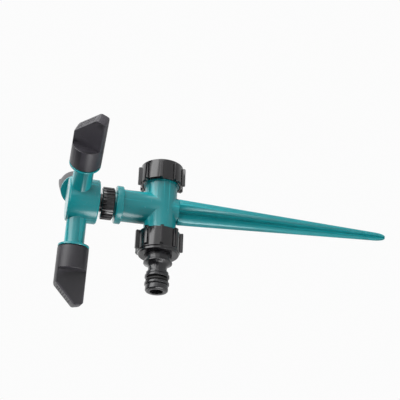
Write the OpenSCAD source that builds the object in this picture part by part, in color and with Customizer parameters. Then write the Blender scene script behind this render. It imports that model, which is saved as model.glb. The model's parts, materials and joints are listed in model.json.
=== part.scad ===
// Three-arm rotary lawn sprinkler on a ground spike.
// Z is the spinning axis, with the spike below the ground line (z = 0) and the rotor above.
// The cross-pipe lies along X, with the hose end at -X and the capped end at +X.

/* [Ground spike] */
// Length of the spike below the ground line
spike_length = 156.6; // [120:0.2:200]
// Diameter over the fins at the root
spike_root_d = 21.8; // [16:0.2:27]
// Diameter over the fins where the rounded tip starts
spike_tip_d = 7.4; // [6:0.1:10]
// Length of the rounded tip
spike_tip_length = 12; // [8:0.5:20]
// Diameter of the solid core at the bottom of the flutes, at the root
spike_core_d = 7.2; // [5:0.1:9]
// Half of the angle that one fin takes up
spike_fin_angle = 13; // [10:1:20]
// How far the spike is turned in its socket
spike_turn = -26; // [-45:1:45]
// Diameter of the peg that is welded into the tee
spike_peg_d = 12; // [9:0.1:14]
// Length of the peg
spike_peg_length = 4; // [2:0.1:4.8]

/* [Cross-pipe] */
// Outside diameter of the cross-pipe
pipe_d = 23; // [19.5:0.1:28]
// Water bore of the cross-pipe
pipe_bore_d = 13; // [10.5:0.1:15.6]
// How far the spike's boss stands out below the cross-pipe
boss_reach = 0.5; // [0.3:0.1:3]
// Diameter of the boss
boss_d = 18.8; // [15.5:0.1:22.6]
// Distance from the spinning axis to the shoulder where each thread starts
pipe_reach = 18.3; // [15:0.1:24]
// Outside diameter of the pipe threads
thread_d = 26.4; // [24:0.1:33]
// Length of each pipe thread
thread_length = 11.1; // [9:0.1:14]
// Pitch of the pipe threads, which sets how far a turn moves the cap
thread_pitch = 1.814; // [1:0.001:3]

/* [Stem] */
// Outside diameter of the stem
stem_d = 23; // [19.5:0.1:28]
// Bore that the spindle turns in
stem_bore_d = 13; // [11:0.1:15.6]
// Distance from the cross-pipe's axis to the underside of the ring
stem_length = 27.8; // [24:0.1:36]
// Diameter of the ring
ring_d = 27; // [24:0.1:34]
// Height of the ring
ring_height = 4.8; // [3:0.1:7]
// Diameter of the threaded neck above the ring
neck_d = 18.4; // [16:0.1:22]
// Height of the neck
neck_height = 5; // [4:0.1:8]

/* [Swivel nut] */
// Gap between the ring and the nut
nut_gap = 1.3; // [0.5:0.1:2.5]
// Wall of the nut around the neck
nut_wall = 1.6; // [1.2:0.1:3]
// Thickness of the nut's top
nut_top = 1.45; // [1:0.05:3]
// Number of grip ribs
nut_ribs = 24; // [12:1:36]
// Height of the grip ribs
nut_rib_height = 0.6; // [0.3:0.05:1]
// Width of the grip ribs
nut_rib_width = 1.5; // [0.8:0.1:1.8]

/* [Spindle] */
// Diameter of the spindle where it passes through the nut
spindle_d = 12.6; // [10:0.1:15]
// Water bore of the spindle
spindle_bore_d = 7.2; // [5:0.1:8.5]
// Thickness of the spindle's flange
flange_thickness = 1.8; // [1.2:0.1:3]
// Thickness of each slip washer
slip_washer_thickness = 0.8; // [0.5:0.05:1.5]
// Depth that the spindle reaches into the stem, below the neck's top
guide_length = 8; // [6:0.1:14]
// Thickness of the ring in the spindle's seal
spindle_seal_d = 1.6; // [1.2:0.1:1.8]

/* [Hub] */
// Diameter of the hub
hub_d = 31.4; // [28:0.1:40]
// Height of the hub without its cap
hub_height = 20.75; // [20.6:0.05:26]
// Gap between the swivel nut and the hub
hub_gap = 2.25; // [1:0.05:4]
// Thickness of the hub's side wall
hub_wall = 3.4; // [2:0.1:4]
// Thickness of the hub's floor
hub_floor = 5; // [3:0.1:6]
// Thickness of the cap's rim above the hub
hub_cap_thickness = 0.9; // [0.8:0.1:3]
// Diameter of the nut that holds the spindle in the hub
spindle_nut_d = 18; // [16:0.1:20]
// Height of that nut
spindle_nut_height = 3.2; // [2:0.1:4]

/* [Arms] */
// Number of arms is three; this is the first arm's direction
arm_phase = -67.35; // [-180:0.05:180]
// Height of the arms above the hub's underside
arm_height = 13.25; // [11.5:0.05:13.3]
// Upward slope of the arms
arm_lift = 1; // [0:0.1:1.2]
// Outside diameter of each arm
arm_d = 14; // [11:0.1:14]
// Water bore of each arm
arm_bore_d = 8.4; // [6:0.1:9]
// Distance from the spinning axis to the outer face of the arm's collar
arm_reach = 34.8; // [29:0.1:45]
// Thickness of the collar
collar_thickness = 1.5; // [1:0.1:3]
// Diameter of the spigot that the nozzle turns on
spigot_d = 15.8; // [13:0.1:16.5]
// Length of the spigot
spigot_length = 12; // [10.5:0.1:12.5]

/* [Nozzles] */
// Diameter of each nozzle
nozzle_d = 21.8; // [21:0.1:28]
// Length of each nozzle
nozzle_length = 40.8; // [36:0.1:50]
// Length of the round base
nozzle_base_length = 16.6; // [15.5:0.1:19]
// Thickness of the flat paddle
paddle_thickness = 9.4; // [8:0.1:14]
// Length of the side that the spray face starts from
spray_start = 26; // [24:0.1:30]
// Distance from the nozzle's axis to the peak of the spray face
peak_offset = 4; // [2:0.1:6]
// How much shorter the far corner is than the peak
corner_drop = 1.6; // [0.5:0.1:4]
// Wall of the nozzle
nozzle_wall = 1.6; // [1.2:0.1:2.5]
// Diameter of one spray hole
spray_hole_d = 1; // [0.6:0.1:1.4]
// Number of spray holes along the face
spray_columns = 7; // [3:1:8]
// Number of rows of spray holes
spray_rows = 3; // [1:1:3]
// Distance between the spray holes
spray_pitch = 2.1; // [1.6:0.1:2.3]
// How far the first nozzle is turned from straight up
first_nozzle_turn = 20; // [0:1:60]
// How far the second nozzle is turned from straight up
second_nozzle_turn = 6; // [0:1:60]
// How far the third nozzle is turned from straight up
third_nozzle_turn = 20; // [0:1:60]
// Thickness of the ring in each nozzle's seal
nozzle_seal_d = 1.8; // [1.4:0.1:2.2]

/* [End cap and hose nut] */
// Wall around the thread
cap_wall = 1.8; // [1.4:0.1:3]
// Height of the grip ridges
ridge_height = 2; // [1:0.1:3]
// Width of the grip ridges
ridge_width = 2.2; // [1.2:0.1:5]
// Number of grip ridges
ridge_count = 9; // [6:1:12]
// Length of the cap's outer end that has no ridges
cap_shoulder = 1.8; // [1:0.1:3]
// Length of the hose nut's outer end that has no ridges
hose_nut_shoulder = 1.2; // [1:0.1:3]
// Thickness of the cap's end
cap_end = 2.5; // [1.5:0.1:4]
// Thickness of the cap's and the inlet's washers
pipe_washer_thickness = 1.6; // [1:0.1:2.5]
// Turn of the cap's ridges from the -Y side, upwards
cap_ridge_turn = 11; // [-20:0.5:20]
// Turn of the hose nut's ridges from the -Y side, upwards
hose_nut_ridge_turn = 3; // [-20:0.5:20]
// Diameter of the plain ring at the hose nut's outer end
hose_nut_ring_d = 28.6; // [27:0.1:32]
// Length of that ring
hose_nut_ring_length = 1.9; // [1:0.1:4]

/* [Hose nipple] */
// Water bore of the nipple
nipple_bore_d = 9.1; // [7:0.1:9.6]
// Thickness of the flange that the hose nut holds
nipple_flange_thickness = 2; // [1.5:0.1:3]
// Diameter of the collar
nipple_collar_d = 18.8; // [17.4:0.1:22]
// Length of the collar outside the hose nut's end
nipple_collar_length = 4.7; // [3:0.1:8]
// Diameter of the lip at the collar's end
nipple_lip_d = 20.2; // [19:0.1:23]
// Diameter of the neck that a hose connector's claws grip
nipple_neck_d = 13.2; // [12.6:0.1:14]
// Length from the lip to the first rib
nipple_neck_length = 6.4; // [5:0.1:9]
// Diameter over the two tall ribs
nipple_rib_d = 17.2; // [16.8:0.1:17.6]
// Diameter of the lands
nipple_land_d = 15.7; // [15.2:0.1:16.2]
// Diameter of the nose that enters the hose connector
nipple_nose_d = 16; // [15.4:0.1:16.4]
// Length of the straight part of the nose
nipple_nose_length = 3; // [2:0.1:5]

/* [Clearances] */
// Radial clearance of turning fits
run_clear = 0.08; // [0.02:0.01:0.1]
// Radial clearance of threads
thread_clear = 0.1; // [0.05:0.05:0.2]
// Radial clearance of pressed and glued fits
press_clear = 0.02; // [0.01:0.01:0.05]
// End play of parts that turn against each other
end_play = 0.05; // [0.02:0.01:0.2]
// Gap between parts that don't touch
free_gap = 0.3; // [0.2:0.05:0.6]

/* [Hidden] */

$fn = 96;
teal = [0.10, 0.49, 0.49];
black = [0.09, 0.09, 0.10];
grey = [0.24, 0.24, 0.26];
rubber = [0.05, 0.05, 0.05];
white = [0.85, 0.85, 0.82];
eps = 0.01;
cut = 1;
seal_clear = 0.1;
arms = 3;

// heights, from the ground line upwards
pipe_z = pipe_d / 2 + boss_reach;
ring_z = pipe_z + stem_length;
neck_z = ring_z + ring_height;
seat_z = neck_z + neck_height;
flange_z = seat_z + slip_washer_thickness + end_play;
upper_washer_z = flange_z + flange_thickness + end_play;
nut_z = neck_z + nut_gap;
nut_ceiling_z = upper_washer_z + slip_washer_thickness + end_play;
nut_top_z = nut_ceiling_z + nut_top;
hub_z = nut_top_z + hub_gap;
hub_rim_z = hub_z + hub_height;
hub_floor_z = hub_z + hub_floor;
arm_z = hub_z + arm_height;

// distances along the cross-pipe
thread_end = pipe_reach + thread_length;
washer_end = thread_end + pipe_washer_thickness;
grip_bore_d = thread_d + 2 * thread_clear;
grip_d = grip_bore_d + 2 * cap_wall;
ridge_d = grip_d + 2 * ridge_height;
grip_chamfer = 0.9;
grip_edge = 0.5;
cap_length = washer_end + cap_end - pipe_reach;
nipple_flange_end = washer_end + nipple_flange_thickness;
hose_nut_inner_end = nipple_flange_end + end_play;
hose_nut_grip_end = hose_nut_inner_end + free_gap;
hose_nut_end = hose_nut_grip_end + hose_nut_ring_length;

// washers fit inside the threads
pipe_washer_d = thread_d - 1;
pipe_washer_hole_d = pipe_bore_d + 3;

// swivel
nut_bore_d = neck_d + 2 * thread_clear;
nut_d = nut_bore_d + 2 * nut_wall;
flange_d = neck_d - 1;
guide_d = stem_bore_d - 2 * run_clear;
guide_z = seat_z - guide_length;
spindle_nut_z = hub_floor_z;
spindle_end = 0.8;
spindle_top_z = spindle_nut_z + spindle_nut_height + spindle_end;
spindle_groove_z = guide_z + 2;
hub_chamber_d = hub_d - 2 * hub_wall;
hub_cap_d = hub_d - 1;
hub_cap_skirt = 2.4;
arm_start = hub_chamber_d / 2 - 2;

// nozzles
nozzle_turns = [first_nozzle_turn, second_nozzle_turn, third_nozzle_turn];
nozzle_bore_d = spigot_d + 2 * run_clear;
groove_floor_d = spigot_d - 2 * nozzle_seal_d - seal_clear;
nozzle_groove_width = nozzle_seal_d + free_gap;
snap_ridge = 0.5;
snap_at = 3;
snap_width = 1.4;
groove_at = 7.2;
chamber_end = nozzle_base_length - nozzle_wall;

// corners of a polygon rounded by arcs: p holds [x, y, radius] for each corner
function unit(v) = v / norm(v);
function arc_corner(a, b, c, r, steps) =
    let (u = unit(a - b), v = unit(c - b), half = acos(u * v) / 2)
    let (centre = b + unit(u + v) * r / sin(half))
    let (from = b + u * r / tan(half) - centre, to = b + v * r / tan(half) - centre)
    let (turn = (from[0] * to[1] - from[1] * to[0] > 0 ? 1 : -1) * (180 - 2 * half))
    [for (i = [0 : steps])
        let (t = turn * i / steps)
        centre + [from[0] * cos(t) - from[1] * sin(t), from[0] * sin(t) + from[1] * cos(t)]];
function rounded(p, steps = 5) = [
    for (i = [0 : len(p) - 1])
        let (a = p[(i + len(p) - 1) % len(p)], b = p[i], c = p[(i + 1) % len(p)])
        each (b[2] == 0 ? [[b[0], b[1]]]
            : arc_corner([a[0], a[1]], [b[0], b[1]], [c[0], c[1]], b[2], steps))];

// a straight tube between two heights
module tube(z0, z1, outer, inner) {
    difference() {
        translate([0, 0, z0]) cylinder(h = z1 - z0, d = outer);
        translate([0, 0, z0 - cut]) cylinder(h = z1 - z0 + 2 * cut, d = inner);
    }
}

// a disc with both of its outer edges chamfered
module bevelled(z0, z1, d, low, high) {
    rotate_extrude()
        polygon([[0, z0], [d / 2 - low, z0], [d / 2, z0 + low],
            [d / 2, z1 - high], [d / 2 - high, z1], [0, z1]]);
}

// turns parts drawn along +Z so that they lie along +X or -X at the cross-pipe's height
module along_x() { translate([0, 0, pipe_z]) rotate([0, 90, 0]) children(); }
module along_minus_x() { translate([0, 0, pipe_z]) rotate([0, -90, 0]) children(); }

module o_ring(centre_d, ring_thickness) {
    rotate_extrude() translate([centre_d / 2, 0]) circle(d = ring_thickness, $fn = 32);
}

// places a part drawn along +Z on one arm; -X of the drawing becomes the top side
module on_arm(k) {
    translate([0, 0, arm_z]) rotate([0, 0, arm_phase - k * 360 / arms])
        rotate([0, 90 - arm_lift, 0]) children();
}

// ---- tee ----
module tee_solid() {
    translate([0, 0, 0]) cylinder(h = pipe_z, d = boss_d);
    translate([0, 0, pipe_z]) cylinder(h = ring_z - pipe_z + cut, d = stem_d);
    bevelled(ring_z, neck_z, ring_d, 0.5, 0.5);
    bevelled(neck_z - cut, seat_z, neck_d, 0, 0.4);
    along_x() translate([0, 0, -pipe_reach]) cylinder(h = 2 * pipe_reach, d = pipe_d);
    along_x() bevelled(pipe_reach, thread_end, thread_d, 0, 0.6);
    along_minus_x() bevelled(pipe_reach, thread_end, thread_d, 0, 0.6);
}

module tee_body() {
    color(teal) difference() {
        tee_solid();
        along_x() translate([0, 0, -thread_end - cut]) cylinder(h = 2 * (thread_end + cut), d = pipe_bore_d);
        translate([0, 0, pipe_z]) cylinder(h = seat_z - pipe_z + cut, d = stem_bore_d);
        translate([0, 0, -cut]) cylinder(h = cut + spike_peg_length + free_gap, d = spike_peg_d + 2 * press_clear);
    }
}

// ---- spike: a cone with four tapering flutes that leave four fins ----
spike_slope = (spike_root_d - spike_tip_d) / 2 / (spike_length - spike_tip_length);
flute_edge = 45 - spike_fin_angle;
flute_flank = spike_root_d / 2 * sin(flute_edge) / (spike_root_d / 2 * cos(flute_edge) - spike_core_d / 2);

module spike_cone() {
    tip_r = spike_tip_d / 2;
    tip_z = -spike_length + spike_tip_length;
    rotate_extrude()
        polygon([[0, 0], [spike_root_d / 2, 0], [tip_r, tip_z],
            for (i = [1 : 6])
                let (t = i / 6)
                [tip_r * (1 - 0.64 * t * t), tip_z - spike_tip_length * (1 - pow(1 - t, 1.35))],
            [0, -spike_length]]);
}

// a flute with flat flanks, which narrows towards the same point as the spike's cone
module spike_flute() {
    wide = 1 + spike_slope * cut / (spike_root_d / 2);
    outer = spike_root_d / 2 + cut;
    spread = (outer - spike_core_d / 2) * flute_flank;
    polyhedron(
        points = [[0, 0, -spike_root_d / 2 / spike_slope], wide * [spike_core_d / 2, 0, 0] + [0, 0, cut],
            wide * [outer, spread, 0] + [0, 0, cut], wide * [outer, -spread, 0] + [0, 0, cut]],
        faces = [[1, 2, 3], [0, 2, 1], [0, 3, 2], [0, 1, 3]]);
}

module ground_spike() {
    color(teal) {
        rotate([0, 0, spike_turn]) difference() {
            spike_cone();
            for (k = [0 : 3]) rotate([0, 0, k * 90]) spike_flute();
        }
        translate([0, 0, -eps]) cylinder(h = spike_peg_length + eps, d = spike_peg_d);
    }
}

// ---- cap and hose nut ----
// ridges stand on the round body, and end a shoulder's length short of its outer edge
module grip_shape(z0, z1, turn, shoulder) {
    root_r = grip_d / 2 - cap_wall / 2;
    bevelled(z0, z1, grip_d, grip_chamfer, grip_edge);
    intersection() {
        for (k = [0 : ridge_count - 1])
            rotate([0, 0, turn + k * 360 / ridge_count])
                translate([root_r, -ridge_width / 2, z0 - cut])
                cube([ridge_d, ridge_width, z1 - z0 + 2 * cut]);
        bevelled(z0, z1 - shoulder, ridge_d, grip_edge, grip_edge);
    }
}

module end_cap() {
    color(black) along_x() difference() {
        grip_shape(pipe_reach + end_play, pipe_reach + cap_length, -cap_ridge_turn - 90, cap_shoulder);
        translate([0, 0, pipe_reach - cut]) cylinder(h = washer_end - pipe_reach + cut, d = grip_bore_d);
    }
}

module end_cap_washer() {
    color(rubber) along_x() tube(thread_end, washer_end, pipe_washer_d, pipe_washer_hole_d);
}

module hose_nut() {
    collar_hole_d = nipple_collar_d + 2 * free_gap;
    color(black) along_minus_x() difference() {
        union() {
            grip_shape(pipe_reach + end_play, hose_nut_grip_end, hose_nut_ridge_turn - 90, hose_nut_shoulder);
            bevelled(hose_nut_grip_end - cut, hose_nut_end, hose_nut_ring_d, 0, 0.5);
        }
        translate([0, 0, pipe_reach - cut]) cylinder(h = hose_nut_inner_end - pipe_reach + cut, d = grip_bore_d);
        translate([0, 0, hose_nut_inner_end - cut]) cylinder(h = hose_nut_end, d = collar_hole_d);
    }
}

module inlet_washer() {
    color(rubber) along_minus_x() tube(thread_end, washer_end, pipe_washer_d, pipe_washer_hole_d);
}

// ---- nipple ----
collar_end = hose_nut_end + nipple_collar_length;
lip_end = collar_end + 1.4;
neck_start = lip_end + 3;
rib_1 = lip_end + nipple_neck_length;
rib_2 = rib_1 + 2.4;
seal_start = rib_2 + 2.2;
seal_end = seal_start + 3;
rib_3_end = seal_end + 2.2;
nose_start = rib_3_end + 0.6;
nose_end = nose_start + nipple_nose_length;
nipple_end = nose_end + 0.9;
nipple_seal_d = 2.2;
nipple_groove_d = nipple_land_d - 2 * nipple_seal_d;

module hose_nipple() {
    color(grey) along_minus_x() difference() {
        rotate_extrude() polygon([
            [0, washer_end], [pipe_washer_d / 2, washer_end], [pipe_washer_d / 2, nipple_flange_end],
            [nipple_collar_d / 2, nipple_flange_end], [nipple_collar_d / 2, collar_end],
            [nipple_lip_d / 2, collar_end + 0.4], [nipple_lip_d / 2, lip_end],
            [nipple_neck_d / 2 + 1.6, lip_end + 0.9], [nipple_neck_d / 2 + 0.5, lip_end + 1.9],
            [nipple_neck_d / 2, neck_start], [nipple_neck_d / 2, rib_1],
            [nipple_land_d / 2, rib_1 + 0.3], [nipple_land_d / 2, rib_2 - 0.5],
            [nipple_land_d / 2 - 0.5, rib_2 - 0.2], [nipple_rib_d / 2, rib_2 + 0.2],
            [nipple_rib_d / 2, seal_start - 0.4], [nipple_land_d / 2, seal_start],
            [nipple_groove_d / 2, seal_start], [nipple_groove_d / 2, seal_end],
            [nipple_land_d / 2, seal_end], [nipple_rib_d / 2, seal_end + 0.4],
            [nipple_rib_d / 2, rib_3_end - 0.3], [nipple_land_d / 2 - 0.5, rib_3_end + 0.1],
            [nipple_nose_d / 2, nose_start], [nipple_nose_d / 2, nose_end],
            [nipple_nose_d / 2 - 0.5, nose_end + 0.6], [nipple_nose_d / 2 - 1.2, nipple_end],
            [0, nipple_end]]);
        translate([0, 0, washer_end - cut]) cylinder(h = nipple_end - washer_end + 2 * cut, d = nipple_bore_d);
    }
}

module nipple_o_ring() {
    color(rubber) along_minus_x() translate([0, 0, (seal_start + seal_end) / 2])
        o_ring(nipple_groove_d + nipple_seal_d + 2 * press_clear, nipple_seal_d);
}

// ---- swivel ----
module swivel_nut() {
    color(black) difference() {
        union() {
            bevelled(nut_z, nut_top_z, nut_d, 0.4, 0.4);
            for (k = [0 : nut_ribs - 1])
                rotate([0, 0, k * 360 / nut_ribs])
                    translate([0, -nut_rib_width / 2, nut_z + 0.5])
                    cube([nut_d / 2 + nut_rib_height, nut_rib_width, nut_top_z - nut_z - 1]);
        }
        translate([0, 0, nut_z - cut]) cylinder(h = nut_ceiling_z - nut_z + cut, d = nut_bore_d);
        translate([0, 0, nut_ceiling_z - cut]) cylinder(h = nut_top + 2 * cut, d = spindle_d + 2 * free_gap);
    }
}

module lower_slip_washer() {
    color(white) tube(seat_z, seat_z + slip_washer_thickness, flange_d, guide_d + 2 * free_gap);
}

module upper_slip_washer() {
    color(white) tube(upper_washer_z, upper_washer_z + slip_washer_thickness, flange_d, spindle_d + 2 * free_gap);
}

spindle_groove_d = guide_d - 2 * spindle_seal_d - seal_clear;
spindle_groove_height = spindle_seal_d + free_gap;
module spindle() {
    color(grey) difference() {
        union() {
            bevelled(guide_z, flange_z + eps, guide_d, 0.4, 0);
            translate([0, 0, flange_z]) cylinder(h = flange_thickness, d = flange_d);
            translate([0, 0, flange_z]) cylinder(h = spindle_top_z - flange_z, d = spindle_d);
        }
        translate([0, 0, guide_z - cut]) cylinder(h = spindle_top_z - guide_z + 2 * cut, d = spindle_bore_d);
        tube(spindle_groove_z, spindle_groove_z + spindle_groove_height, guide_d + 2, spindle_groove_d);
    }
}

module spindle_o_ring() {
    color(rubber) translate([0, 0, spindle_groove_z + spindle_groove_height / 2])
        o_ring(spindle_groove_d + spindle_seal_d + 2 * press_clear, spindle_seal_d);
}

module spindle_nut() {
    color(black) difference() {
        translate([0, 0, spindle_nut_z])
            cylinder(h = spindle_nut_height, d = spindle_nut_d, $fn = 6);
        translate([0, 0, spindle_nut_z - cut])
            cylinder(h = spindle_nut_height + 2 * cut, d = spindle_d + 2 * press_clear);
    }
}

// ---- rotor ----
module rotor_body() {
    color(teal) difference() {
        union() {
            bevelled(hub_z, hub_rim_z, hub_d, 0.8, 0.5);
            for (k = [0 : arms - 1]) on_arm(k) arm_shell();
        }
        translate([0, 0, hub_z - cut]) cylinder(h = hub_floor + 2 * cut, d = spindle_d + 2 * press_clear);
        translate([0, 0, hub_floor_z]) cylinder(h = hub_height, d = hub_chamber_d);
        translate([0, 0, hub_rim_z]) cylinder(h = arm_d, d = hub_cap_d + 2 * free_gap);
        for (k = [0 : arms - 1])
            on_arm(k) translate([0, 0, arm_start - cut])
                cylinder(h = arm_reach + spigot_length, d = arm_bore_d);
    }
}

// the outside of one arm, cut with the seal's groove
module arm_shell() {
    difference() {
        union() {
            translate([0, 0, arm_start]) cylinder(h = arm_reach - arm_start, d = arm_d);
            bevelled(arm_reach - collar_thickness, arm_reach, nozzle_d, 0.3, 0.2);
            bevelled(arm_reach - cut, arm_reach + spigot_length, spigot_d, 0, 0.5);
            bevelled(arm_reach + snap_at, arm_reach + snap_at + snap_width, spigot_d + 2 * snap_ridge, 0.4, 0.4);
        }
        tube(arm_reach + groove_at, arm_reach + groove_at + nozzle_groove_width, spigot_d + 2, groove_floor_d);
    }
}

module hub_cap() {
    color(teal) {
        bevelled(hub_rim_z, hub_rim_z + hub_cap_thickness, hub_cap_d, 0, 0.4);
        translate([0, 0, hub_rim_z - hub_cap_skirt])
            cylinder(h = hub_cap_skirt + eps, d = hub_chamber_d - 2 * press_clear);
    }
}

// ---- nozzles, drawn along +Z with the spray side towards -X ----
nozzle_r = nozzle_d / 2;
paddle_outline = rounded([
    [chamber_end, -nozzle_r, 0],
    [nozzle_length - corner_drop, -nozzle_r, 3.4],
    [nozzle_length, -peak_offset, 2.4],
    [spray_start, nozzle_r, 6],
    [chamber_end, nozzle_r, 0]]);
face_run = [nozzle_length - spray_start, -peak_offset - nozzle_r];
face_dir = unit(face_run);
face_out = [-face_dir[1], face_dir[0]];
// the hollow keeps one wall behind the spray face and at the tip
hollow_half = nozzle_r - nozzle_wall - 1.2;
function face_inner(v) = spray_start + (nozzle_r - v) * face_dir[0] / -face_dir[1]
    - nozzle_wall / face_out[0];
hollow_tip = nozzle_length - corner_drop - nozzle_wall - 1;
hollow_tip_v = nozzle_r - (hollow_tip + nozzle_wall / face_out[0] - spray_start) * -face_dir[1] / face_dir[0];
hollow_outline = [
    [chamber_end - cut, -hollow_half], [hollow_tip, -hollow_half], [hollow_tip, hollow_tip_v],
    [face_inner(hollow_half), hollow_half], [chamber_end - cut, hollow_half]];

// a flat outline of [length, height] pairs, given a thickness across the nozzle
module across(outline, thickness) {
    rotate([0, 0, 180]) rotate([90, 0, 0]) rotate([0, 0, 90]) mirror([0, 1, 0])
        linear_extrude(height = thickness, center = true) polygon(outline);
}

module nozzle_solid() {
    bevelled(0, nozzle_base_length, nozzle_d, 0.9, 0.3);
    intersection() {
        cylinder(h = nozzle_length + cut, d = nozzle_d);
        across(paddle_outline, paddle_thickness);
    }
}

module nozzle_inside() {
    translate([0, 0, -cut]) cylinder(h = chamber_end + cut, d = nozzle_bore_d);
    translate([0, 0, snap_at - free_gap / 2])
        cylinder(h = snap_width + free_gap, d = nozzle_bore_d + 2 * snap_ridge);
    across(hollow_outline, paddle_thickness - 2 * nozzle_wall);
}

module spray_holes() {
    middle = [spray_start, nozzle_r] + face_run / 2;
    for (i = [0 : spray_columns - 1], j = [0 : spray_rows - 1]) {
        along = middle + face_dir * spray_pitch * (i - (spray_columns - 1) / 2);
        side = spray_pitch * (j - (spray_rows - 1) / 2);
        translate([-along[1], side, along[0]])
            rotate([0, -atan2(face_out[1], face_out[0]), 0])
            cylinder(h = 4 * nozzle_wall, d = spray_hole_d, center = true, $fn = 24);
    }
}

module nozzle(k) {
    color(black) on_arm(k) rotate([0, 0, -nozzle_turns[k]]) translate([0, 0, arm_reach + end_play])
        difference() {
            nozzle_solid();
            nozzle_inside();
            spray_holes();
        }
}

module nozzle_o_ring(k) {
    color(rubber) on_arm(k) translate([0, 0, arm_reach + groove_at + nozzle_groove_width / 2])
        o_ring(groove_floor_d + nozzle_seal_d + 2 * press_clear, nozzle_seal_d);
}

tee_body();
ground_spike();
end_cap();
end_cap_washer();
hose_nut();
hose_nipple();
nipple_o_ring();
inlet_washer();
swivel_nut();
lower_slip_washer();
upper_slip_washer();
spindle();
spindle_o_ring();
spindle_nut();
rotor_body();
hub_cap();
nozzle(0);  // nozzle_1
nozzle(1);  // nozzle_2
nozzle(2);  // nozzle_3
nozzle_o_ring(0);  // nozzle_o_ring_1
nozzle_o_ring(1);  // nozzle_o_ring_2
nozzle_o_ring(2);  // nozzle_o_ring_3
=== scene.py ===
"""Three-arm lawn sprinkler: finished mouldings and plastics around the CAD frame."""

import json
import math
import bpy
from mathutils import Matrix, Vector


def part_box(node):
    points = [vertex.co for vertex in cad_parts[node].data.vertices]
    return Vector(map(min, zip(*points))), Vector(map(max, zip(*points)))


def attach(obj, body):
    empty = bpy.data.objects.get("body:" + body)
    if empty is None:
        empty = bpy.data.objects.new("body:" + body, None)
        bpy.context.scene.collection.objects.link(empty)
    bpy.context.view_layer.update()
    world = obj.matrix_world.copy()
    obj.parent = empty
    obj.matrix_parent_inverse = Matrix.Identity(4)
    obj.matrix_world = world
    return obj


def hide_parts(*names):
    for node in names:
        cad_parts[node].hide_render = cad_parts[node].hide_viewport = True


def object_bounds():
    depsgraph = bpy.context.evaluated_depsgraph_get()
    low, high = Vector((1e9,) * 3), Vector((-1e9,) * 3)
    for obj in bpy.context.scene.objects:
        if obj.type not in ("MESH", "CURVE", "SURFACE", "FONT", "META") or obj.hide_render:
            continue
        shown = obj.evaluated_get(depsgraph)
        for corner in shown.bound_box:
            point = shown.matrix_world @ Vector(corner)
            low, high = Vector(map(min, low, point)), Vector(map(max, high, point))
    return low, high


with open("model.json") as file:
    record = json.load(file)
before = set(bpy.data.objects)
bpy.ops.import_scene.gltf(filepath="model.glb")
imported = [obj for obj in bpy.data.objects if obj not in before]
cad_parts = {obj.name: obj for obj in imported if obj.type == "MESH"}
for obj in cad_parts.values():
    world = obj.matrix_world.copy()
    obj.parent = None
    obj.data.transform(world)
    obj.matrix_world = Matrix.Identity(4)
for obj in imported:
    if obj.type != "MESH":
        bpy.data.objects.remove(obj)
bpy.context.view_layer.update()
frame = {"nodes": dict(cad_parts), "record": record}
nodes = frame["nodes"]
SLOTS = {part["node"]: part["material_slot"] for part in frame["record"]["subparts"]}
BODIES = {node: body for body, held in frame["record"]["behaviour"]["bodies"].items() for node in held}
MM = 0.001
WHITE = (1.0, 1.0, 1.0, 1.0)

# ---- camera: lies on its side, so that the spinning axis runs across its view ----
AIM = Vector((0.01193, 0.0, -0.01656))
AZIMUTH, ELEVATION, ROLL = -26.42, 10.81, -82.84
DISTANCE = 0.787
LENS, SENSOR = 98.4, 36.0

# ---- light ----
# soft boxes as (from, to) degrees right of the camera, (from, to) degrees above it, and brightness
SOFTBOXES = (
    ((-80, -30), (6, 76), 4.7),
    ((-30, 42), (26, 68), 1.45),
    ((-90, 270), (70, 95), 5.4),
    ((60, 96), (22, 66), 0.8),
    ((110, 250), (-60, 60), 1.2),
)
SOFT_EDGE = 5
ROOM_LIGHT = 0.05
STAGE_LIGHT = 0.97
# the low soft box: metres from the aim along right, up and back, and the way it shines along up and back
LOW_SOFTBOX_PLACE = (0.08, -0.40, 0.18)
LOW_SOFTBOX_AIM = (0.37, -0.17)
LOW_SOFTBOX_SIZE = (0.26, 0.2)
LOW_SOFTBOX_WATTS = 1.1
FLOOR_SIZE = 80.0
FLOOR_GAP = 0.001

# ---- plastics: noise scales in steps per metre, depths in metres ----
FLOW_SCALE = 38.0
FLOW_STRETCH = (1.0, 1.0, 0.45)
CLOUD_SCALE = 140.0
MOTTLE = 0.5
SCUFF_SCALE = 900.0
SCUFF_STRETCH = (0.12, 1.0, 1.0)
PEEL_SCALE, PEEL_DEPTH = 420.0, 0.0004
TEXTURE_SCALE, TEXTURE_DEPTH = 4200.0, 0.00008
# pointiness range over which convex edges turn paler: a painted highlight where edges catch the light, and
# partly wear
EDGE_HIGHLIGHT_AND_WEAR = (0.508, 0.56)

# ---- mouldings, in millimetres and degrees ----
EDGE_RADII = {
    "rotor_body": 0.35, "hub_cap": 0.25, "swivel_nut": 0.12, "ground_spike": 0.4,
    "end_cap": 0.3, "hose_nut": 0.3, "hose_nipple": 0.15,
}
TEE_EDGE_RADIUS = 0.35
NOZZLE_EDGE_RADIUS = 0.3
EDGE_SEGMENTS = 3
SHARP_ANGLE = 32.0
SMOOTH_ANGLE = 30
MERGE_DISTANCE = 0.002
FLAT_ANGLE = 0.4

# ---- nozzle paddles, in millimetres ----
PADDLE_FILLET = 1.8
PADDLE_FILLET_SEGMENTS = 4
PADDLE_BORDER = 1.1
PADDLE_SINK = 0.3
FACES_OUTWARD = 0.9

# ---- pipe threads, in millimetres ----
PIPE_AXIS = 12.0
CAD_THREAD_RADIUS = 13.2
RADIUS_TOLERANCE = 0.05
THREAD_ROOT = 12.5
RIDGE_FOOT = 12.4
RIDGE_CREST = 13.15
RIDGE_FOOT_WIDTH = 1.3
RIDGE_CREST_WIDTH = 0.45
THREAD_PITCH = 1.814
THREAD_TURNS = 5
THREAD_RUN_OUT = 1.2
THREAD_STEPS = 64


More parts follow.
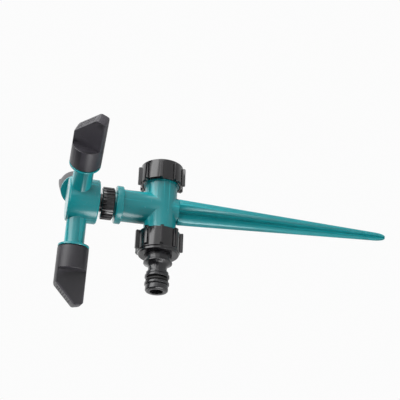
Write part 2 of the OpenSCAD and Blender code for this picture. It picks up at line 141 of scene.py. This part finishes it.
# ---- node maths ----
class Wire:
    """A socket of a material or world, with arithmetic that adds Math nodes."""

    def __init__(self, tree, socket):
        self.tree, self.socket = tree, socket

    def math(self, operation, *others):
        node = self.tree.nodes.new("ShaderNodeMath")
        node.operation = operation
        for slot, value in zip(node.inputs, (self, *others)):
            plug(self.tree, slot, value)
        return Wire(self.tree, node.outputs[0])

    def __add__(self, other):
        return self.math("ADD", other)

    __radd__ = __add__

    def __mul__(self, other):
        return self.math("MULTIPLY", other)

    __rmul__ = __mul__

    def __sub__(self, other):
        return self.math("SUBTRACT", other)

    def __rsub__(self, other):
        return (self * -1.0).math("ADD", other)


def plug(tree, slot, value):
    """Links a wire to a socket, or sets a plain value on it."""
    if isinstance(value, Wire):
        tree.links.new(value.socket, slot)
    else:
        slot.default_value = value


def rgba(colour):
    """A colour with its alpha, unless it is a wire already."""
    return colour if isinstance(colour, Wire) else (*colour, 1.0)


class Finish:
    """A material or a world under construction."""

    def __init__(self, name=None, tree=None):
        if name:
            self.material = bpy.data.materials.new(name)
            self.material.use_nodes = True
        self.tree = tree or self.material.node_tree
        self.shader = self.tree.nodes.get("Principled BSDF")

    def node(self, kind, settings=None, outlet=0, **sockets):
        """A new node; a socket is named, or numbered as _0, _1 and so on."""
        made = self.tree.nodes.new("ShaderNode" + kind)
        for key, value in (settings or {}).items():
            setattr(made, key, value)
        for key, value in sockets.items():
            slot = made.inputs[int(key[1:]) if key[0] == "_" else key.replace("_", " ")]
            plug(self.tree, slot, value)
        return Wire(self.tree, made.outputs[outlet])

    def noise(self, scale, detail=3.0, roughness=0.5, stretch=(1.0, 1.0, 1.0)):
        """Noise on Object coordinates, stretched along the axes."""
        spot = self.node("Mapping", Vector=self.node("TexCoord", outlet=3), Scale=stretch)
        return self.node("TexNoise", Vector=spot, Scale=scale, Detail=detail, Roughness=roughness)

    def steps(self, value, low, high):
        """A value from 0 at low to 1 at high."""
        return self.node("MapRange", Value=value, From_Min=low, From_Max=high)

    def blend(self, share, first, second):
        """A colour between two others."""
        return self.node("Mix", {"data_type": "RGBA"}, outlet=2, _0=share, _6=rgba(first), _7=rgba(second))

    def set(self, **sockets):
        for key, value in sockets.items():
            plug(self.tree, self.shader.inputs[key.replace("_", " ")], value)

    def grain(self, *layers):
        """Bump layers of (height, strength, depth in metres), one on top of the other."""
        normal = None
        for height, strength, depth in layers:
            below = {"Normal": normal} if normal else {}
            normal = self.node("Bump", Height=height, Strength=strength, Distance=depth, **below)
        self.set(Normal=normal)


def moulded(name, deep, light, roughness, coat=0.0, peel=0.05, edge=0.0):
    """Injection-moulded plastic: flow marks, orange peel, handling scuffs, and paler convex edges that are
    partly wear and partly a painted highlight.
    """
    finish = Finish(name)
    flow = finish.noise(FLOW_SCALE, 4.0, 0.6, FLOW_STRETCH)
    cloud = finish.noise(CLOUD_SCALE, 2.0)
    tone = finish.steps(flow * 0.6 + cloud * 0.4, 0.35, 0.65) * MOTTLE
    colour = finish.blend(tone, deep, light)
    scuffs = finish.steps(finish.noise(SCUFF_SCALE, 2.0, 0.6, SCUFF_STRETCH), 0.66, 0.74)
    # paler convex edges: a painted highlight where the edges catch the light, and partly wear
    if edge:
        pointiness = finish.node("NewGeometry", outlet=7)
        highlight_and_wear_colour = tuple(min(1.0, channel * 3.0 + 0.01) for channel in light)
        colour = finish.blend(finish.steps(pointiness, *EDGE_HIGHLIGHT_AND_WEAR) * edge, colour, highlight_and_wear_colour)
    finish.set(Base_Color=colour, Coat_Weight=coat, Coat_Roughness=0.08)
    finish.set(Roughness=roughness + flow * 0.08 - 0.04 + scuffs * 0.09)
    orange_peel = (finish.noise(PEEL_SCALE, 2.0), peel, PEEL_DEPTH)
    fine_texture = (finish.noise(TEXTURE_SCALE, 1.0), peel * 0.7, TEXTURE_DEPTH)
    finish.grain(orange_peel, fine_texture)
    return finish.material


# edge sets the share of paler convex edges, a painted highlight and partly wear
MATERIALS = {
    "teal_plastic": moulded("teal_plastic", (0.0025, 0.185, 0.203), (0.0050, 0.212, 0.232),
                            roughness=0.24, coat=0.1, edge=0.25),
    "black_plastic": moulded("black_plastic", (0.0040, 0.0035, 0.0048), (0.0075, 0.0065, 0.0085),
                             roughness=0.17, coat=0.3),
    "nozzle_plastic": moulded("nozzle_plastic", (0.012, 0.0112, 0.014), (0.018, 0.0165, 0.021),
                              roughness=0.45, peel=0.12, edge=0.5),
    "grey_plastic": moulded("grey_plastic", (0.009, 0.009, 0.011), (0.015, 0.015, 0.017),
                            roughness=0.24, coat=0.2),
    "slip_plastic": moulded("slip_plastic", (0.62, 0.62, 0.57), (0.70, 0.70, 0.66), roughness=0.45),
    "rubber": moulded("rubber", (0.006, 0.006, 0.006), (0.012, 0.012, 0.012), roughness=0.62, peel=0.2),
}


# ---- camera and light ----
def camera_axes(azimuth, elevation, roll):
    """Right, up and back of a camera that looks at the sprinkler."""
    a, e, r = (math.radians(v) for v in (azimuth, elevation, roll))
    back = Vector((math.sin(a) * math.cos(e), -math.cos(a) * math.cos(e), math.sin(e)))
    level = Vector((0, 0, 1)).cross(back).normalized()
    upright = back.cross(level)
    right = level * math.cos(r) + upright * math.sin(r)
    return right, back.cross(right), back


RIGHT, UP, BACK = camera_axes(AZIMUTH, ELEVATION, ROLL)


def facing(place, right, up, back):
    """A matrix at a place whose -Z axis looks along -back."""
    return Matrix.Translation(place) @ Matrix((right, up, back)).transposed().to_4x4()


def add_camera():
    data = bpy.data.cameras.new("camera")
    data.lens = LENS
    data.sensor_width = SENSOR
    camera = bpy.data.objects.new("camera", data)
    camera.matrix_world = facing(AIM + BACK * DISTANCE, RIGHT, UP, BACK)
    bpy.context.scene.collection.objects.link(camera)
    bpy.context.scene.camera = camera


def add_world():
    """Soft boxes on the left, in front above, overhead, right and behind, and a pale backdrop."""
    world = bpy.data.worlds.new("studio")
    bpy.context.scene.world = world
    world.use_nodes = True
    studio = Finish(tree=world.node_tree)
    ray = studio.node("TexCoord")
    across, above, ahead = (
        studio.node("VectorMath", {"operation": "DOT_PRODUCT"}, outlet=1, _0=ray, _1=axis)
        for axis in (RIGHT, UP, BACK))
    turn = across.math("ARCTAN2", ahead) * math.degrees(1)
    turn = turn + turn.math("LESS_THAN", -90.0) * 360.0
    lift = above.math("ARCSINE") * math.degrees(1)
    glow = ROOM_LIGHT
    for across_range, up_range, brightness in SOFTBOXES:
        patch = brightness
        for angle, (low, high) in ((turn, across_range), (lift, up_range)):
            patch = studio.steps(angle, low - SOFT_EDGE, low + SOFT_EDGE) * patch
            patch = studio.steps(angle, high + SOFT_EDGE, high - SOFT_EDGE) * patch
        glow = patch + glow
    room = world.node_tree.nodes["Background"]
    plug(studio.tree, room.inputs["Strength"], glow)
    room.inputs["Color"].default_value = WHITE
    backdrop = studio.node("Background", Color=WHITE, Strength=STAGE_LIGHT)
    lit = Wire(studio.tree, room.outputs[0])
    mixed = studio.node("MixShader", _0=studio.node("LightPath"), _1=lit, _2=backdrop)
    plug(studio.tree, studio.tree.nodes["World Output"].inputs["Surface"], mixed)


def add_low_softbox():
    """A small soft box close under the spike, which lights its lower flanks."""
    data = bpy.data.lights.new("low_softbox", "AREA")
    data.shape = "RECTANGLE"
    data.size, data.size_y = LOW_SOFTBOX_SIZE
    data.energy = LOW_SOFTBOX_WATTS
    light = bpy.data.objects.new("low_softbox", data)
    up, back = LOW_SOFTBOX_AIM
    toward = (UP * up + BACK * back).normalized()
    side = (RIGHT - toward * RIGHT.dot(toward)).normalized()
    right, up, back = LOW_SOFTBOX_PLACE
    place = AIM + RIGHT * right + UP * up + BACK * back
    light.matrix_world = facing(place, side, side.cross(toward), -toward)
    light.visible_camera = False
    bpy.context.scene.collection.objects.link(light)


def add_floor():
    """A pale floor just under the spike's tip, which looks as bright as the backdrop."""
    bpy.ops.mesh.primitive_plane_add(size=FLOOR_SIZE, location=(0, 0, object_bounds()[0][2] - FLOOR_GAP))
    floor = bpy.context.active_object
    floor.name = "floor"
    floor.data.transform(floor.matrix_world)
    floor.matrix_world = Matrix.Identity(4)
    paint = Finish("pale_floor")
    paint.set(Base_Color=(0.5, 0.5, 0.5, 1.0), Roughness=0.9)
    matt = Wire(paint.tree, paint.shader.outputs[0])
    lit = paint.node("Emission", Strength=STAGE_LIGHT)
    mixed = paint.node("MixShader", _0=paint.node("LightPath"), _1=matt, _2=lit)
    plug(paint.tree, paint.tree.nodes["Material Output"].inputs["Surface"], mixed)
    floor.data.materials.append(paint.material)


# ---- modelling helpers ----
def only(obj):
    """Selects one object alone and makes it active."""
    bpy.ops.object.select_all(action="DESELECT")
    obj.select_set(True)
    bpy.context.view_layer.objects.active = obj


def apply(obj, kind, **settings):
    """Adds a modifier and applies it."""
    only(obj)
    modifier = obj.modifiers.new(kind.lower(), kind)
    for key, value in settings.items():
        setattr(modifier, key, value)
    bpy.ops.object.modifier_apply(modifier=modifier.name)


def edit_selection(piece, kind, chosen):
    """Edit mode with only these vertices, edges or faces selected."""
    only(piece)
    bpy.ops.object.mode_set(mode="EDIT")
    bpy.ops.mesh.select_mode(type=kind)
    bpy.ops.mesh.select_all(action="DESELECT")
    bpy.ops.object.mode_set(mode="OBJECT")
    parts = {"VERT": piece.data.vertices, "EDGE": piece.data.edges, "FACE": piece.data.polygons}[kind]
    for index in chosen:
        parts[index].select = True
    bpy.ops.object.mode_set(mode="EDIT")


def finish_piece(piece, node):
    """Smooths and paints a finished piece, and hands it to the body of its CAD node."""
    bpy.ops.object.shade_smooth_by_angle(angle=math.radians(SMOOTH_ANGLE))
    slot = SLOTS[node]
    piece.data.materials.clear()
    piece.data.materials.append(MATERIALS[slot])
    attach(piece, BODIES[node])


def soft_copy(node, edge_radius, shape=None):
    """A copy of a CAD node, shaped further if asked, with its edges rounded as a mould leaves them."""
    piece = nodes[node].copy()
    piece.data = nodes[node].data.copy()
    piece.name = piece.data.name = node + "_moulding"
    piece.parent = None
    for key in list(piece.keys()):
        del piece[key]
    bpy.context.scene.collection.objects.link(piece)
    only(piece)
    bpy.ops.object.mode_set(mode="EDIT")
    bpy.ops.mesh.select_all(action="SELECT")
    bpy.ops.mesh.remove_doubles(threshold=MERGE_DISTANCE * MM)
    bpy.ops.mesh.dissolve_limited(angle_limit=math.radians(FLAT_ANGLE))
    bpy.ops.object.mode_set(mode="OBJECT")
    if shape:
        shape(piece)
    apply(piece, "BEVEL", width=edge_radius * MM, segments=EDGE_SEGMENTS, limit_method="ANGLE",
          angle_limit=math.radians(SHARP_ANGLE), use_clamp_overlap=True, harden_normals=False)
    finish_piece(piece, node)
    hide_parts(node)


# ---- nozzles ----
def paddle_flats(piece):
    """The two broad flat faces of a nozzle."""
    return sorted(piece.data.polygons, key=lambda face: face.area)[-2:]


def shape_nozzle(piece):
    """Fills the corner between each flat and the round base, and sinks the flats inside a raised border."""
    mesh = piece.data
    low, high = (Vector(corner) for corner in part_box("rotor_body"))
    centre = Vector([sum(v.co[i] for v in mesh.vertices) / len(mesh.vertices) for i in range(3)])
    outward = centre - (low + high) / 2
    outward = Vector((outward.x, outward.y, 0)).normalized()
    users = {}
    for face in mesh.polygons:
        for key in face.edge_keys:
            users.setdefault(key, []).append(face)
    numbers = {edge.key: edge.index for edge in mesh.edges}
    corners = [
        numbers[key] for flat in paddle_flats(piece) for key in flat.edge_keys
        if any(other.normal.dot(outward) > FACES_OUTWARD
               and other.center.dot(outward) < flat.center.dot(outward) for other in users[key])]
    edit_selection(piece, "EDGE", corners)
    bpy.ops.mesh.bevel(offset=PADDLE_FILLET * MM, segments=PADDLE_FILLET_SEGMENTS, affect="EDGES")
    bpy.ops.object.mode_set(mode="OBJECT")
    edit_selection(piece, "FACE", [flat.index for flat in paddle_flats(piece)])
    bpy.ops.mesh.inset(thickness=PADDLE_BORDER * MM, depth=-PADDLE_SINK * MM, use_individual=True)
    bpy.ops.object.mode_set(mode="OBJECT")


# ---- pipe threads ----
def shape_tee(piece):
    """Cuts both pipe ends down to the root of their threads."""
    def on_thread(place):
        reach = math.hypot(place.y, place.z - PIPE_AXIS * MM)
        return abs(reach - CAD_THREAD_RADIUS * MM) < RADIUS_TOLERANCE * MM

    edit_selection(piece, "VERT", [v.index for v in piece.data.vertices if on_thread(v.co)])
    shrink = THREAD_ROOT / CAD_THREAD_RADIUS
    bpy.ops.transform.resize(value=(1.0, shrink, shrink), center_override=(0.0, 0.0, PIPE_AXIS * MM))
    bpy.ops.object.mode_set(mode="OBJECT")


def add_pipe_thread(name, turned):
    """One helical thread ridge on a pipe end, with closed ends."""
    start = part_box("tee_body")[1][0] / MM - THREAD_TURNS * THREAD_PITCH - THREAD_RUN_OUT
    axis = Vector((start, 0.0, PIPE_AXIS)) * MM
    middle = Vector((0, 0, (RIDGE_FOOT + RIDGE_CREST) / 2)) * MM
    bpy.ops.object.select_all(action="DESELECT")
    bpy.ops.mesh.primitive_plane_add(size=MM, location=axis + middle, rotation=(math.pi / 2, 0, 0))
    ridge = bpy.context.active_object
    ridge.name = ridge.data.name = name
    ridge.data.transform(Matrix.Translation(-axis) @ ridge.matrix_world)
    ridge.matrix_world = Matrix.Translation(axis)
    for vertex in ridge.data.vertices:
        upper = vertex.co.z > middle.z
        vertex.co.x *= RIDGE_CREST_WIDTH if upper else RIDGE_FOOT_WIDTH
        vertex.co.z = (RIDGE_CREST if upper else RIDGE_FOOT) * MM
    only(ridge)
    bpy.ops.object.mode_set(mode="EDIT")
    bpy.ops.mesh.select_all(action="SELECT")
    bpy.ops.mesh.delete(type="ONLY_FACE")
    bpy.ops.object.mode_set(mode="OBJECT")
    apply(ridge, "SCREW", axis="X", screw_offset=THREAD_PITCH * MM, iterations=THREAD_TURNS,
          steps=THREAD_STEPS, render_steps=THREAD_STEPS, use_smooth_shade=True)
    bpy.ops.object.mode_set(mode="EDIT")
    bpy.ops.mesh.select_all(action="SELECT")
    bpy.ops.mesh.fill_holes(sides=4)
    bpy.ops.mesh.select_all(action="SELECT")
    bpy.ops.mesh.normals_make_consistent(inside=False)
    bpy.ops.object.mode_set(mode="OBJECT")
    turn = Matrix.Rotation(math.pi if turned else 0.0, 4, "Z")
    ridge.data.transform(turn @ ridge.matrix_world)
    ridge.matrix_world = Matrix.Identity(4)
    finish_piece(ridge, "tee_body")


# ---- the scene ----
add_camera()
bpy.context.scene.view_settings.view_transform = "Standard"
add_world()
add_low_softbox()

for name, obj in nodes.items():
    obj.data.materials.clear()
    obj.data.materials.append(MATERIALS[SLOTS[name]])

soft_copy("tee_body", TEE_EDGE_RADIUS, shape=shape_tee)
add_pipe_thread("cap_end_thread", turned=False)
add_pipe_thread("hose_end_thread", turned=True)
for name, edge_radius in EDGE_RADII.items():
    soft_copy(name, edge_radius)
for name in ("nozzle_1", "nozzle_2", "nozzle_3"):
    soft_copy(name, NOZZLE_EDGE_RADIUS, shape=shape_nozzle)

add_floor()
